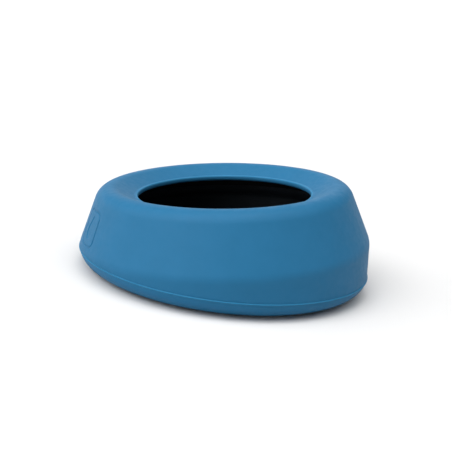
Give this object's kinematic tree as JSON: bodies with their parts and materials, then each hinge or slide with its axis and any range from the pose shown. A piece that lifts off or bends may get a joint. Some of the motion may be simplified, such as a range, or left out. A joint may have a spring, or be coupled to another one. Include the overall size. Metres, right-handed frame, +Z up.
{
  "type": "no-spill travel water bowl",
  "caption": "Round no-spill travel water bowl: blue silicone cover with a funnel brim, black inner bowl and seal, on a wedge-shaped base shell. Cover and bowl lift off.",
  "frame": {"origin": "in the base plane, under the middle of the whole bowl", "axes": "+Z up from the surface it stands on; +X towards the tall side of the wedge; the rim axis leans 6.9 degrees from +Z towards -X"},
  "size_m": [0.205, 0.205, 0.0737],
  "materials": {
    "blue_silicone": "matte silicone, fine moulded texture",
    "black_bowl": "matte moulded",
    "black_seal": "matte silicone"
  },
  "bodies": {
    "base": {"base_shell": "blue_silicone"},
    "bowl": {"inner_bowl": "black_bowl", "rim_seal": "black_seal"},
    "cover": {"splash_cover": "blue_silicone"}
  },
  "joints": [
    {"name": "bowl_lift", "type": "slide", "parent": "base", "child": "bowl", "axis": [-0.1201, 0, 0.9928], "range_m": [0, 0.12]},
    {"name": "cover_lift", "type": "slide", "parent": "bowl", "child": "cover", "axis": [-0.1201, 0, 0.9928], "range_m": [0, 0.12]}
  ]
}
